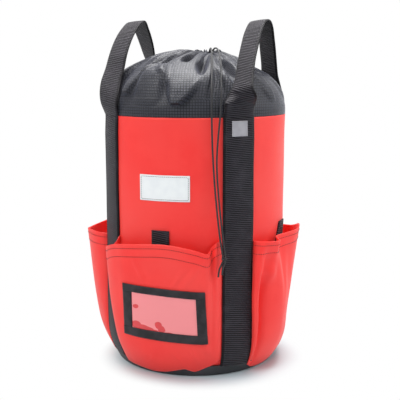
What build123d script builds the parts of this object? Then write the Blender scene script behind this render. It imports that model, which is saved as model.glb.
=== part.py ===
from build123d import *
import math
import os

# Rope bag of coated fabric: a round red body on a black base, four vertical webbing straps,
# two webbing loop handles, four bellows pockets, and a ripstop collar drawn shut by a cord.
# Origin on the floor under the middle of the base, +Z up, the pocket with the window faces -Y.
# All lengths are in millimetres and all angles in degrees.

# ---- driving dimensions ----
BODY_R = 127.0            # outside radius of the red wall
BODY_H = 348.0            # height of the seam where the wall ends and the collar starts
WALL_T = 1.5              # coated fabric of the wall, with its lining
CORNER_IN = 16.0          # how far the foot of the bag draws in below the straight wall
CORNER_H = 55.0           # height over which it draws in
CORNER_POWER = 2.2        # how sharply the soft corner turns
RIM_H = 16.0              # height of the black base rim, up to the body seam
BASE_T = 2.5              # thickness of the base panel on the floor
BOARD_T = 2.0             # stiffener board inside the bag
BOARD_GAP = 1.0           # between the board's edge and the inside of the rim

WEB_W = 44.5              # width of the strap and handle webbing
WEB_T = 2.2               # thickness of that webbing
STRAP_SEAT = 0.05         # room between a strap and the wall it is sewn to
STRAP_FOOT = 14.0         # height of the straps' lower ends
STRAP_TURNS = {
    "front_left": -135.0,
    "front_right": -45.0,
    "back_right": 45.0,
    "back_left": 135.0,
}

HANG_SIDE = -71.0         # turn of the side of the bag the drawcord hangs down

COLLAR_T = 1.2            # gathered ripstop
MOUTH_ASIDE = 16.0        # how far the drawn mouth sits from the bag's axis, to the right of that side
MOUTH_R = 16.0            # radius of the drawn mouth, at the middle of its casing
MOUTH_Z = 430.0           # height of the casing's middle
CASING_R = 4.0            # the casing's own section, rolled round the cord
CORD_D = 2.4              # drawcord
CASING_IN = 1.7           # radius of the hollow in the casing, with room for the cord

POCKET_FOOT = 11.0        # height of the pockets' lower edge
POCKET_TOP = 185.0        # height of the pockets' open edge
POCKET_T = 1.4            # pocket fabric with its lining
POCKET_SEAT = 0.4        # room between a pocket's side edges and the wall

SEWN = 0.1                # room under a flat piece sewn on the wall
TAB_W = 24.0              # small webbing tab over each pocket
TAB_T = 2.4
TAB_LOW = 170.0
TAB_HIGH = 201.0

WINDOW_W = 117.0          # card window, outside of its tape frame
WINDOW_H = 72.0
WINDOW_MIDDLE = 1.1       # turn of its middle from the panel's middle
WINDOW_Z = 91.0           # height of its middle
WINDOW_DROP = 4.5         # how much lower its right edge hangs than its left
TAPE_W = 12.5
WINDOW_LIFT = 0.45
TAPE_T = 0.9
PANE_T = 0.5

PATCH_W = 70.0            # plain pale patch sewn on the front wall
PATCH_H = 34.0
PATCH_Z = 257.0
PATCH_T = 0.8
LABEL_W = 22.0            # small plain label on one strap
LABEL_H = 20.0
LABEL_Z = 334.0
LABEL_T = 0.6

ROOT_H = 30.0             # length of webbing above the seam that bends when a handle swings

KNOT_R = 4.2              # overhand knot that joins the two cords


# ---- the soft foot of the bag ----
def wall_radius(z):
    """Outside radius of the bag at height z."""
    if z >= CORNER_H:
        return BODY_R
    return BODY_R - CORNER_IN * (1 - max(z, 0) / CORNER_H) ** CORNER_POWER


def heights(low, high, longest):
    """Heights from low to high in steps no longer than the one given."""
    steps = max(1, math.ceil((high - low) / longest))
    return [low + (high - low) * k / steps for k in range(steps + 1)]


def wall_band(low, high, inner, outer):
    """Face in the XZ plane that follows the wall, between two offsets from its outside."""
    rise = [z for z in heights(low, min(high, CORNER_H), 9.0)] if low < CORNER_H else [low]
    if high > rise[-1]:
        rise.append(high)
    outside = [(wall_radius(z) + outer, z) for z in rise]
    inside = [(wall_radius(z) + inner, z) for z in rise]
    curve = [p for p in outside if p[1] <= CORNER_H]
    back = [p for p in inside if p[1] <= CORNER_H]
    lines = []
    if len(curve) > 1:
        lines.append(Spline(*[(r, 0, z) for r, z in curve]))
        lines.append(Spline(*[(r, 0, z) for r, z in back]))
    if high > CORNER_H or len(curve) < 2:
        start = max(low, min(CORNER_H, curve[-1][1])) if curve else low
        lines.append(Line((BODY_R + outer, 0, start), (BODY_R + outer, 0, high)))
        lines.append(Line((BODY_R + inner, 0, start), (BODY_R + inner, 0, high)))
    lines.append(Line((outside[0][0], 0, low), (inside[0][0], 0, low)))
    lines.append(Line((outside[-1][0], 0, high), (inside[-1][0], 0, high)))
    return make_face(lines)


def turned(face, middle, spread):
    """Solid swept by the face round Z, spread degrees wide about the middle turn."""
    solid = revolve(face, axis=Axis.Z, revolution_arc=spread)
    return Rot(0, 0, middle - spread / 2) * solid


def angle_for(width, radius):
    return math.degrees(width / radius)


# ---- bag body ----
def make_base():
    rise = heights(0.0, RIM_H, 4.0)
    outside = [(wall_radius(z), 0, z) for z in rise]
    inside = [(wall_radius(z) - WALL_T, 0, z) for z in heights(BASE_T, RIM_H, 4.0)]
    lines = [
        Line((0, 0, 0), outside[0]),
        Spline(*outside),
        Line(outside[-1], inside[-1]),
        Spline(*inside),
        Line(inside[0], (0, 0, BASE_T)),
        Line((0, 0, BASE_T), (0, 0, 0)),
    ]
    return revolve(make_face(lines), axis=Axis.Z)


def make_board():
    radius = wall_radius(BASE_T) - WALL_T - BOARD_GAP
    return Pos(0, 0, BASE_T) * Cylinder(radius, BOARD_T, align=(Align.CENTER, Align.CENTER, Align.MIN))


def make_body():
    return revolve(wall_band(RIM_H, BODY_H, -WALL_T, 0.0), axis=Axis.Z)


def make_strap(turn):
    return turned(wall_band(STRAP_FOOT, BODY_H, STRAP_SEAT, WEB_T), turn, angle_for(WEB_W, BODY_R))


# ---- collar ----
# Gathered cloth from the seam to the mouth: radius, height, and share of the mouth's shift aside.
COLLAR_LINE = [
    (BODY_R - 0.4, BODY_H, 0.0),
    (BODY_R - 1.2, BODY_H + 15.0, 0.0),
    (BODY_R - 9.5, BODY_H + 34.0, 0.0),
    (BODY_R - 23.0, BODY_H + 51.0, 0.0),
    (BODY_R - 42.0, BODY_H + 64.5, 0.05),
    (BODY_R - 64.0, BODY_H + 76.0, 0.25),
    (BODY_R - 88.0, BODY_H + 81.5, 0.65),
    (MOUTH_R + CASING_R - 0.5, MOUTH_Z, 1.0),
]


def aside(length):
    """X and Y of a point that far to the right of the hanging side, from the axis."""
    a = math.radians(HANG_SIDE + 90)
    return (length * math.cos(a), length * math.sin(a))


def dome(line):
    """Solid of round sections, whose middles drift toward the mouth's."""
    rounds = [Pos(*aside(MOUTH_ASIDE * share), z) * Circle(r) for r, z, share in line]
    return loft(rounds)


def make_collar():
    """Dome of gathered cloth from the seam up to the casing, open at both ends."""
    inner = []
    for k, (r, z, share) in enumerate(COLLAR_LINE):
        before = COLLAR_LINE[max(k - 1, 0)]
        after = COLLAR_LINE[min(k + 1, len(COLLAR_LINE) - 1)]
        run = math.hypot(after[0] - before[0], after[1] - before[1])
        across = ((after[1] - before[1]) / run, -(after[0] - before[0]) / run)
        inner.append((r - across[0] * COLLAR_T, z - across[1] * COLLAR_T, share))
    inner[0] = (BODY_R - 0.4 - COLLAR_T, BODY_H, 0.0)
    inner[-1] = (MOUTH_R + CASING_R - 0.5, MOUTH_Z - COLLAR_T, 1.0)
    way_out = Pos(*aside(MOUTH_ASIDE), MOUTH_Z - 2 * COLLAR_T) * Cylinder(
        MOUTH_R + CASING_R, 4 * COLLAR_T, align=(Align.CENTER, Align.CENTER, Align.MIN)
    )
    return dome(COLLAR_LINE) - dome(inner) - way_out


def make_casing():
    """Hem rolled round the drawcord at the mouth, with its raw edge open underneath."""
    outside = []
    inside = []
    for k in range(11):
        a = math.radians(-50.0 + 28.0 * k)
        outside.append((MOUTH_R + CASING_R * math.cos(a), 0, CASING_R * math.sin(a)))
    for k in range(6):
        a = math.radians(230.0 - 56.0 * k)
        inside.append((MOUTH_R + CASING_IN * math.cos(a), 0, CASING_IN * math.sin(a)))
    hem = revolve(make_face(Polyline(*outside, *inside, close=True)), axis=Axis.Z)
    return Pos(*aside(MOUTH_ASIDE), MOUTH_Z) * hem


def make_cord_ring():
    return Pos(*aside(MOUTH_ASIDE), MOUTH_Z) * Torus(MOUTH_R, CORD_D / 2)


# ---- bellows pockets ----
SIDE = 45.0 - angle_for(WEB_W, BODY_R) / 2 - 0.4      # turn of a pocket's side seam from its middle
# Open edge of each pocket seen from above, from one side seam to the other:
# turn from the panel's middle, and how far the cloth stands off the wall.
FRONT_EDGE = [
    (-SIDE, 0.0), (-34.3, 6.0), (-39.5, 11.0), (-38.0, 17.0), (-30.0, 20.0), (-17.0, 19.0), (-4.0, 15.0),
    (8.0, 15.0), (18.0, 17.0), (25.0, 15.0), (26.5, 9.0), (28.0, 6.0), (30.0, 11.0),
    (32.5, 7.0), (SIDE, 0.0),
]
RIGHT_EDGE = [
    (-SIDE, 0.0), (-33.5, 7.0), (-29.0, 15.0), (-21.5, 20.0), (-19.0, 12.0), (-14.0, 6.5),
    (-8.0, 9.0), (3.0, 21.0), (14.0, 25.0), (25.0, 24.0), (31.0, 17.0), (33.5, 9.0), (SIDE, 0.0),
]
LEFT_EDGE = [
    (-SIDE, 0.0), (-34.0, 9.0), (-31.0, 20.0), (-22.0, 28.0), (-10.0, 31.0), (3.0, 33.0),
    (15.0, 30.0), (24.0, 23.0), (30.0, 15.0), (33.5, 7.0), (SIDE, 0.0),
]
BACK_EDGE = [
    (-SIDE, 0.0), (-34.0, 6.0), (-30.0, 13.0), (-20.0, 17.0), (-7.0, 18.0), (7.0, 18.0),
    (20.0, 17.0), (30.0, 13.0), (34.0, 6.0), (SIDE, 0.0),
]
# name: (turn of the panel's middle, open edge, how fast the pocket fills above its foot)
POCKETS = {
    "front": (-90.0, FRONT_EDGE, 1.6),
    "right": (0.0, RIGHT_EDGE, 1.3),
    "back": (90.0, BACK_EDGE, 1.6),
    "left": (180.0, LEFT_EDGE, 1.6),
}
FOOT_STAND = 1.9          # how far the cloth stands off the wall at its lower edge


def smooth(points, per_step):
    """Points of a smooth curve that passes through the given ones."""
    found = []
    last = len(points) - 1
    for k in range(last):
        a = points[max(k - 1, 0)]
        b = points[k]
        c = points[k + 1]
        d = points[min(k + 2, last)]
        for s in range(per_step):
            t = s / per_step
            row = []
            for i in range(len(b)):
                slope_b = (c[i] - a[i]) / 2
                slope_c = (d[i] - b[i]) / 2
                row.append(
                    b[i] * (2 * t**3 - 3 * t**2 + 1)
                    + slope_b * (t**3 - 2 * t**2 + t)
                    + c[i] * (3 * t**2 - 2 * t**3)
                    + slope_c * (t**3 - t**2)
                )
            found.append(tuple(row))
    found.append(points[-1])
    return found


def fill(z, power):
    """Share of its full bulge that a pocket has at height z."""
    s = min(max((z - POCKET_FOOT) / (POCKET_TOP - POCKET_FOOT), 0.0), 1.0)
    return 1 - (1 - s) ** power


def pocket_line(z, edge, power):
    """(turn, stand-off) along a pocket's outside at height z."""
    share = fill(z, power)
    last = len(edge) - 1
    line = []
    for k, (turn, stand) in enumerate(edge):
        even = -SIDE + 2 * SIDE * k / last
        rest = FOOT_STAND if 0 < k < last else 0.0
        line.append((even + (turn - even) * share ** 0.6, rest + max(stand - rest, 0.0) * share))
    return smooth(line, 2)


def polar(radius, turn, z):
    a = math.radians(turn)
    return (radius * math.cos(a), radius * math.sin(a), z)


def pocket_section(z, middle, edge, power):
    """Closed outline of the pocket's cloth, seen from above, at height z."""
    base = wall_radius(z) + POCKET_SEAT
    line = pocket_line(z, edge, power)
    outside = [polar(base + stand, middle + turn, z) for turn, stand in line]
    inside = []
    for k in range(1, len(outside) - 1):
        ahead = outside[k + 1]
        behind = outside[k - 1]
        run = math.hypot(ahead[0] - behind[0], ahead[1] - behind[1])
        inside.append(
            (
                outside[k][0] - (ahead[1] - behind[1]) / run * POCKET_T,
                outside[k][1] + (ahead[0] - behind[0]) / run * POCKET_T,
                z,
            )
        )
    lean = angle_for(POCKET_T, base)
    inside.insert(0, polar(base, middle - SIDE + lean, z))
    inside.append(polar(base, middle + SIDE - lean, z))
    lines = [
        Spline(*outside),
        Line(outside[-1], inside[-1]),
        Spline(*inside),
        Line(inside[0], outside[0]),
    ]
    return Wire(lines)


def make_pocket(name):
    middle, edge, power = POCKETS[name]
    sections = [make_face(pocket_section(z, middle, edge, power)) for z in heights(POCKET_FOOT, POCKET_TOP, 30.0)]
    return loft(sections)


def pocket_stand(z, turn, edge, power):
    """How far a pocket's outside stands off the wall at a height and a turn from its middle."""
    line = pocket_line(z, edge, power)
    for (a, low), (b, high) in zip(line, line[1:]):
        if a <= turn <= b:
            return low + (high - low) * (turn - a) / (b - a)
    return line[-1][1]


# ---- pieces sewn flat on the wall or on a strap ----
def make_flat(width, low, high, turn, seat, thickness):
    """Piece sewn on the straight part of the wall, seat mm outside it."""
    near = BODY_R + seat
    face = make_face(
        [
            Line((near, 0, low), (near + thickness, 0, low)),
            Line((near + thickness, 0, low), (near + thickness, 0, high)),
            Line((near + thickness, 0, high), (near, 0, high)),
            Line((near, 0, high), (near, 0, low)),
        ]
    )
    return turned(face, turn, angle_for(width, near))


# ---- card window on the front pocket ----
def on_pocket(left, right, low, high, lift, thickness):
    """Thin piece lying on the front pocket. left and right are mm from the window's middle."""
    middle, edge, power = POCKETS["front"]
    reach = BODY_R + pocket_stand(WINDOW_Z, WINDOW_MIDDLE, edge, power)
    sections = []
    steps = max(2, math.ceil((right - left) / 13.0))
    for k in range(steps + 1):
        at = left + (right - left) * k / steps
        turn = WINDOW_MIDDLE + angle_for(at, reach)
        near = []
        far = []
        for z in heights(low, high, 12.0):
            height = WINDOW_Z + z - WINDOW_DROP * at / WINDOW_W
            radius = wall_radius(height) + POCKET_SEAT + lift
            radius += pocket_stand(height, turn, edge, power)
            near.append(polar(radius, middle + turn, height))
            far.append(polar(radius + thickness, middle + turn, height))
        if len(near) > 2:
            lines = [Spline(*near), Line(near[-1], far[-1]), Spline(*far), Line(far[0], near[0])]
        else:
            lines = [Line(near[0], near[1]), Line(near[1], far[1]), Line(far[1], far[0]), Line(far[0], near[0])]
        sections.append(make_face(Wire(lines)))
    return loft(sections)


# ---- loop handles ----
# Middle line of the webbing: height above the seam, distance out (X), distance along (Y),
# and the way its width points. Each loop springs from two straps and bends over at its crest.
HANDLE_LINES = {
    "handle_left": [
        (0.0, -90.6, -90.6, -45.0), (15.0, -91.0, -95.0, -37.0), (ROOT_H, -93.0, -90.3, -29.0),
        (45.0, -95.5, -79.5, -28.0), (62.0, -93.5, -68.0, -32.0), (80.0, -93.0, -58.0, -34.0),
        (96.0, -93.0, -45.0, -35.0), (110.0, -92.0, -31.5, -36.0), (120.0, -90.5, -19.0, -37.0),
        (126.5, -89.5, -8.0, -38.0), (128.5, -89.0, 1.0, -39.0), (126.5, -89.5, 10.0, -40.0),
        (120.0, -90.5, 19.5, -41.0), (110.0, -91.0, 31.0, -42.0), (96.0, -92.0, 45.0, -44.0),
        (80.0, -93.0, 58.0, -49.0), (62.0, -95.0, 74.0, -60.0), (45.0, -98.2, 91.2, -75.0),
        (ROOT_H, -98.0, 98.0, -92.0), (15.0, -96.0, 97.5, -112.0), (0.0, -90.6, 90.6, -135.0),
    ],
    "handle_right": [
        (0.0, 90.6, -90.6, 45.0), (14.0, 96.8, -102.4, 10.0), (ROOT_H, 100.2, -105.5, -27.0),
        (42.0, 98.6, -99.8, -41.0), (54.0, 97.0, -88.0, -45.0), (72.0, 94.0, -70.5, -46.0),
        (90.0, 92.8, -54.0, -45.5), (105.0, 92.3, -39.5, -45.5), (116.0, 92.3, -26.0, -46.0),
        (124.0, 92.5, -12.0, -47.0), (126.5, 93.5, 2.0, -48.0), (124.0, 94.5, 14.0, -49.0),
        (116.0, 94.8, 24.0, -49.5), (105.0, 94.0, 33.0, -49.0), (90.0, 93.0, 44.0, -48.0),
        (72.0, 92.0, 56.0, -48.0), (54.0, 90.8, 67.5, -46.5), (42.0, 91.5, 76.5, -45.5),
        (ROOT_H, 92.6, 84.6, -45.0), (15.0, 93.2, 90.8, -45.0), (0.0, 90.6, 90.6, -45.0),
    ],
}


def unit(v):
    size = math.sqrt(sum(c * c for c in v))
    return tuple(c / size for c in v)


def cross(a, b):
    return (a[1] * b[2] - a[2] * b[1], a[2] * b[0] - a[0] * b[2], a[0] * b[1] - a[1] * b[0])


def web_sections(line):
    """Rectangles across the webbing, one at each point of its middle line."""
    middles = [(x, y, BODY_H + rise) for rise, x, y, _ in line]
    sections = []
    for k, (rise, x, y, turn) in enumerate(line):
        ahead = middles[min(k + 1, len(line) - 1)]
        behind = middles[max(k - 1, 0)]
        along = unit(tuple(a - b for a, b in zip(ahead, behind)))
        if k == 0:
            along = (0.0, 0.0, 1.0)
        if k == len(line) - 1:
            along = (0.0, 0.0, -1.0)
        wide = (math.cos(math.radians(turn)), math.sin(math.radians(turn)), 0.0)
        thick = unit(cross(wide, along))
        corners = []
        for u, v in ((-0.5, -0.5), (0.5, -0.5), (0.5, 0.5), (-0.5, 0.5)):
            corners.append(
                tuple(m + u * WEB_W * w + v * WEB_T * t for m, w, t in zip(middles[k], wide, thick))
            )
        sections.append(make_face(Wire.make_polygon(corners, close=True)))
    return sections


def make_handle(name):
    """Webbing loop in three pieces: the part that stays stiff, and the root at each end that bends."""
    sections = web_sections(HANDLE_LINES[name])
    first = 2
    last = len(sections) - 3
    crest = len(sections) // 2
    return (
        loft(sections[first:crest + 1]) + loft(sections[crest:last + 1]),
        loft(sections[:first + 1]),
        loft(sections[last:]),
    )


# ---- drawcord ----
def route_radii(points):
    """Largest bend at each inner point that leaves room for its neighbours' bends."""
    radii = []
    for a, b, c in zip(points, points[1:], points[2:]):
        one = Vector(*b) - Vector(*a)
        two = Vector(*c) - Vector(*b)
        half = math.radians(one.get_angle(two)) / 2
        radii.append(0.45 * min(one.length, two.length) / math.tan(half))
    return radii


def make_cord(name, points):
    radii = route_radii(points)
    path = FilletPolyline(*points, radius=radii)
    start = Plane(origin=path @ 0, z_dir=path % 0)
    tube = sweep(start * Circle(CORD_D / 2), path=path)
    section = math.pi * CORD_D**2 / 4
    print(name, "length", round(path.length, 1), "tightest", round(min(radii), 1),
          "volume share", round(tube.volume / (section * path.length), 3))
    return tube


def hung(radius, aside, z):
    """Point at a radius from the bag's axis, aside mm to the right of the hanging side's middle."""
    out = math.sqrt(radius**2 - aside**2)
    a = math.radians(HANG_SIDE)
    return (out * math.cos(a) - aside * math.sin(a), out * math.sin(a) + aside * math.cos(a), z)


KNOT_AT = (142.9, 37.0, 167.0)
# Middle lines of the cords as (radius, aside, height), from the mouth's casing down to the knot.
CORD_LEFT = [
    (25.0, 19.0, 433.0), (38.0, 20.5, 439.5), (62.0, 21.5, 434.0), (87.0, 21.5, 420.0),
    (108.0, 21.0, 404.5), (123.0, 20.5, 386.0), (131.2, 20.3, 361.0), (132.0, 21.0, 318.0),
    (133.2, 23.6, 272.0), (136.5, 27.5, 228.0), (142.7, 31.8, 190.0), (142.9, 35.6, 169.0),
]
CORD_RIGHT = [
    (27.2, 22.6, 433.0), (38.0, 26.0, 439.5), (60.0, 31.0, 435.5), (84.0, 33.0, 422.0),
    (106.0, 33.2, 406.0), (122.5, 33.0, 387.0), (131.2, 32.5, 362.0), (132.0, 28.5, 322.0),
    (132.2, 26.6, 288.0), (134.0, 29.8, 244.0), (141.0, 34.0, 203.0), (142.9, 38.4, 169.0),
]
TAIL_LEFT = [(142.9, 35.6, 165.0), (142.9, 32.5, 159.0), (143.0, 30.0, 152.5), (143.3, 29.4, 144.5)]
TAIL_RIGHT = [(142.9, 38.4, 165.0), (143.4, 36.0, 158.5), (143.7, 34.4, 152.0), (143.8, 34.5, 147.0)]


def make_knot():
    """Overhand knot: a rounded bead a little taller than it is wide."""
    bead = Sphere(KNOT_R)
    return Pos(*hung(*KNOT_AT)) * bead


def make_cords():
    return {
        "drawcord_left": make_cord("drawcord_left", [hung(*p) for p in CORD_LEFT]),
        "drawcord_right": make_cord("drawcord_right", [hung(*p) for p in CORD_RIGHT]),
        "drawcord_tail_left": make_cord("drawcord_tail_left", [hung(*p) for p in TAIL_LEFT]),
        "drawcord_tail_right": make_cord("drawcord_tail_right", [hung(*p) for p in TAIL_RIGHT]),
        "drawcord_knot": make_knot(),
    }


def main():
    os.makedirs("parts", exist_ok=True)
    nodes = {}
    nodes["base_panel"] = make_base()
    nodes["base_board"] = make_board()
    nodes["body_shell"] = make_body()
    nodes["collar"] = make_collar()
    nodes["mouth_casing"] = make_casing()
    nodes["drawcord_ring"] = make_cord_ring()
    for name, turn in STRAP_TURNS.items():
        nodes["strap_" + name] = make_strap(turn)
    for name, (middle, edge, power) in POCKETS.items():
        nodes["pocket_" + name] = make_pocket(name)
        nodes["tab_" + name] = make_flat(TAB_W, TAB_LOW, TAB_HIGH, middle, SEWN, TAB_T)
    half_w = WINDOW_W / 2
    half_h = WINDOW_H / 2
    nodes["window_tape_top"] = on_pocket(-half_w, half_w, half_h - TAPE_W, half_h, WINDOW_LIFT, TAPE_T)
    nodes["window_tape_bottom"] = on_pocket(-half_w, half_w, -half_h, TAPE_W - half_h, WINDOW_LIFT, TAPE_T)
    side_low = TAPE_W - half_h
    side_high = half_h - TAPE_W
    nodes["window_tape_left"] = on_pocket(-half_w, TAPE_W - half_w, side_low, side_high, WINDOW_LIFT, TAPE_T)
    nodes["window_tape_right"] = on_pocket(half_w - TAPE_W, half_w, side_low, side_high, WINDOW_LIFT, TAPE_T)
    nodes["window_pane"] = on_pocket(TAPE_W - half_w, half_w - TAPE_W, side_low, side_high, WINDOW_LIFT, PANE_T)
    nodes["blank_patch"] = make_flat(
        PATCH_W, PATCH_Z - PATCH_H / 2, PATCH_Z + PATCH_H / 2, POCKETS["front"][0], SEWN, PATCH_T
    )
    nodes["strap_label"] = make_flat(
        LABEL_W, LABEL_Z - LABEL_H / 2, LABEL_Z + LABEL_H / 2, STRAP_TURNS["front_right"], WEB_T + SEWN, LABEL_T
    )
    for side in ("left", "right"):
        loop, front, back = make_handle("handle_" + side)
        nodes["handle_" + side] = loop
        nodes["handle_root_front_" + side] = front
        nodes["handle_root_back_" + side] = back
    nodes.update(make_cords())
    for name, solid in nodes.items():
        export_step(solid, os.path.join("parts", name + ".step"))
        print(name, round(solid.volume / 1000, 2), "cm3", solid.is_valid)


main()
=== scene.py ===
import math

import bpy
import numpy as np
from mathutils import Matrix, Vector


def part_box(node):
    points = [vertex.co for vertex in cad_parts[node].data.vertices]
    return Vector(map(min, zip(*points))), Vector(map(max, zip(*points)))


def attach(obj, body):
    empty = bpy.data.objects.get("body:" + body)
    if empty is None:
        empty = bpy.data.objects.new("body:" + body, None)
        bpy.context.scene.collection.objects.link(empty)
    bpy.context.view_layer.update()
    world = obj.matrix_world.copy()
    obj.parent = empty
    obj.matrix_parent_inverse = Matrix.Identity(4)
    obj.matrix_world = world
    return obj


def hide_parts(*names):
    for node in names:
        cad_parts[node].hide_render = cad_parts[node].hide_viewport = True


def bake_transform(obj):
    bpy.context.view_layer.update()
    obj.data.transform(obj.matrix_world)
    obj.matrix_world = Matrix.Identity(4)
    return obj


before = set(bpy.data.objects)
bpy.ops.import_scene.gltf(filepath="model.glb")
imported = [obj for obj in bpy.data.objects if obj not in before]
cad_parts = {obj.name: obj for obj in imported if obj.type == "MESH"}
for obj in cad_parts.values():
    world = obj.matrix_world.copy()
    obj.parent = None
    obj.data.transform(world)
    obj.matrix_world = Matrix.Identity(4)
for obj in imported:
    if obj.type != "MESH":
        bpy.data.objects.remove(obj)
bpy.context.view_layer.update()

# Everything is in metres in the CAD's frame: the floor is z = 0, the front pocket faces -Y, and the
# handles stand at -X and +X. Turns are in degrees about +Z, from +X.

# ---- sizes ----
BODY_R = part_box("body_shell")[1][0]
SEAM_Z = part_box("body_shell")[1][2]
RIM_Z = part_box("base_panel")[1][2]
STRAP_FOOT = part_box("strap_front_left")[0][2]
MM = 0.001
CORNER_IN, CORNER_H, CORNER_POWER = 16 * MM, 55 * MM, 2.2      # how the foot of the bag draws in
BASE_T = 1.6 * MM
CLOTH_T = 1.3 * MM       # red cloth of the wall and the pockets
WEB_W, WEB_T = 44.5 * MM, 2.2 * MM
STRAPS = {"front_left": -135, "front_right": -45, "back_right": 45, "back_left": 135}
PANELS = {"front": -90, "right": 0, "back": 90, "left": 180}
HANG_SIDE = -71.0        # turn of the side the drawcord hangs down
CORD_D = 2.4 * MM
WHITE = (1, 1, 1, 1)


def new_object(name, data):
    obj = bpy.data.objects.new(name, data)
    bpy.context.collection.objects.link(obj)
    return obj


# ---- camera, light and floor ----
EYE_AWAY, EYE_UP = 1.143, 0.404      # from the bag's axis, and over the floor
EYE_TURN, EYE_TILT = 19, 81          # degrees round from -Y, and up from straight down


def make_camera():
    """Eye a little above the seam, looking down on the front and right-hand pockets."""
    data = bpy.data.cameras.new("camera")
    data.lens = 72.0
    data.sensor_width = 36.0
    data.shift_x = 0.0112
    eye = new_object("camera", data)
    turn = math.radians(EYE_TURN)
    eye.location = (EYE_AWAY * math.sin(turn), -EYE_AWAY * math.cos(turn), EYE_UP)
    eye.rotation_euler = (math.radians(EYE_TILT), 0, turn)
    bpy.context.scene.camera = eye


# Soft boxes: place, the point that each faces, size and watts.
LAMPS = {
    "overhead": ((0, 0.25, 1.55), (0, 0, 0.3), (1.1, 0.9), 37),
    "front": ((-0.9, -1.75, 1.75), (0, 0, 0.25), (1.2, 1.2), 28.5),
    "right": ((2, 0.1, 1.15), (0, 0, 0.25), (1.2, 1.4), 17),
}
ROOM_LIGHT = 0.35                    # even light from all round
FLOOR_R = 2.6
PAINTED_SHADOW_MIDDLE = (0.014, -0.014, 0)     # the floor keeps its own colour round here,
PAINTED_SHADOW_FADE = (0.104, 0.152)                # painted shadow: round here the floor is a darker blue-grey, and it is as white as the background past the second distance


def area_light(name, place, aim, size, power):
    data = bpy.data.lights.new(name, "AREA")
    data.shape = "RECTANGLE"
    data.size, data.size_y = size
    data.energy = power
    lamp = new_object(name, data)
    lamp.location = place
    lamp.rotation_euler = (Vector(aim) - Vector(place)).to_track_quat("-Z", "Y").to_euler()


def new_node(nodes, kind, operation=None, **inputs):
    """Adds a node, with its operation and the constants of its inputs."""
    node = nodes.new("ShaderNode" + kind)
    if operation:
        node.operation = operation
    for key, value in inputs.items():
        node.inputs[key.replace("_", " ")].default_value = value
    return node


def seen_rays(nodes, links):
    """1 for the camera, for gloss and for clear vinyl, and 0 for the light that falls on the bag."""
    path = nodes.new("ShaderNodeLightPath")
    total = path.outputs["Is Camera Ray"]
    for kind in ("Is Glossy Ray", "Is Transmission Ray"):
        either = new_node(nodes, "Math", "MAXIMUM")
        links.new(total, either.inputs[0])
        links.new(path.outputs[kind], either.inputs[1])
        total = either.outputs[0]
    return total


def mix_into(nodes, links, share, one, two, target):
    """Mixes two shaders by a share, and leads them to an output."""
    mix = new_node(nodes, "MixShader")
    for source, socket in zip((share, one, two), mix.inputs):
        links.new(source, socket)
    links.new(mix.outputs[0], target)


def make_light():
    """Three soft boxes, even light from all round, and a white background that only shows."""
    bpy.context.scene.view_settings.view_transform = "Standard"
    for name, lamp in LAMPS.items():
        area_light(name, *lamp)
    world = bpy.data.worlds.new("studio")
    bpy.context.scene.world = world
    world.use_nodes = True
    nodes, links = world.node_tree.nodes, world.node_tree.links
    nodes.clear()
    room, seen = (new_node(nodes, "Background", Color=WHITE, Strength=power) for power in (ROOM_LIGHT, 1))
    out = new_node(nodes, "OutputWorld")
    mix_into(nodes, links, seen_rays(nodes, links), room.outputs[0], seen.outputs[0], out.inputs["Surface"])


def make_floor():
    """Floor painted a darker blue-grey round the bag as painted shadow, fading into the white background away
    from it.
    """
    mesh = bpy.data.meshes.new("floor")
    sides = 96
    turns = [2 * math.pi * k / sides for k in range(sides)]
    verts = [(0, 0, 0), *((FLOOR_R * math.cos(a), FLOOR_R * math.sin(a), 0) for a in turns)]
    mesh.from_pydata(verts, [], [(0, 1 + k, 1 + (k + 1) % sides) for k in range(sides)])
    floor = new_object("floor", mesh)
    s = Shader("floor_painted_shadow")
    # Painted shadow: near the bag the floor's colour is a darker blue-grey, which deepens the bag's shadow
    # and cancels the red light bounced onto it.
    mesh.materials.append(s.finish(Base_Color=(0.57, 0.65, 0.69), Roughness=0.65, Specular_IOR_Level=0.15))
    shift = new_node(s.nodes, "VectorMath", "SUBTRACT")
    shift.inputs[1].default_value = PAINTED_SHADOW_MIDDLE
    far = new_node(s.nodes, "VectorMath", "LENGTH")
    s.links.new(s.place(), shift.inputs[0])
    s.links.new(shift.outputs[0], far.inputs[0])
    share = s.times(s.ramp(far.outputs["Value"], *PAINTED_SHADOW_FADE), seen_rays(s.nodes, s.links))
    glow = new_node(s.nodes, "Emission", Color=WHITE, Strength=1)
    out = s.nodes["Material Output"].inputs["Surface"]
    mix_into(s.nodes, s.links, share, s.base.outputs[0], glow.outputs[0], out)


# ---- drawcord ----
# Routes as (radius from the bag's axis, distance aside, height) in millimetres, as in part.py.
KNOT = (142.9, 37, 167)
ROUTES = {
    "drawcord_left": [
        (25, 19, 433), (38, 20.5, 439.5), (62, 21.5, 434), (87, 21.5, 420), (108, 21, 404.5),
        (123, 20.5, 386), (131.2, 20.3, 361), (132, 21, 318), (133.2, 23.6, 272), (136.5, 27.5, 228),
        (142.7, 31.8, 190), (142.9, 35.6, 169),
    ],
    "drawcord_right": [
        (27.2, 22.6, 433), (38, 26, 439.5), (60, 31, 435.5), (84, 33, 422), (106, 33.2, 406),
        (122.5, 33, 387), (131.2, 32.5, 362), (132, 28.5, 322), (132.2, 26.6, 288), (134, 29.8, 244),
        (141, 34, 203), (142.9, 38.4, 169),
    ],
    "drawcord_tail_left": [
        (142.9, 35.6, 165), (142.9, 32.5, 159), (143, 30, 152.5), (143.3, 29.4, 144.5),
    ],
    "drawcord_tail_right": [
        (142.9, 38.4, 165), (143.4, 36, 158.5), (143.7, 34.4, 152), (143.8, 34.5, 147),
    ],
}
CORD_LENGTHS = {"drawcord_left": 0.3425, "drawcord_right": 0.342}


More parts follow.
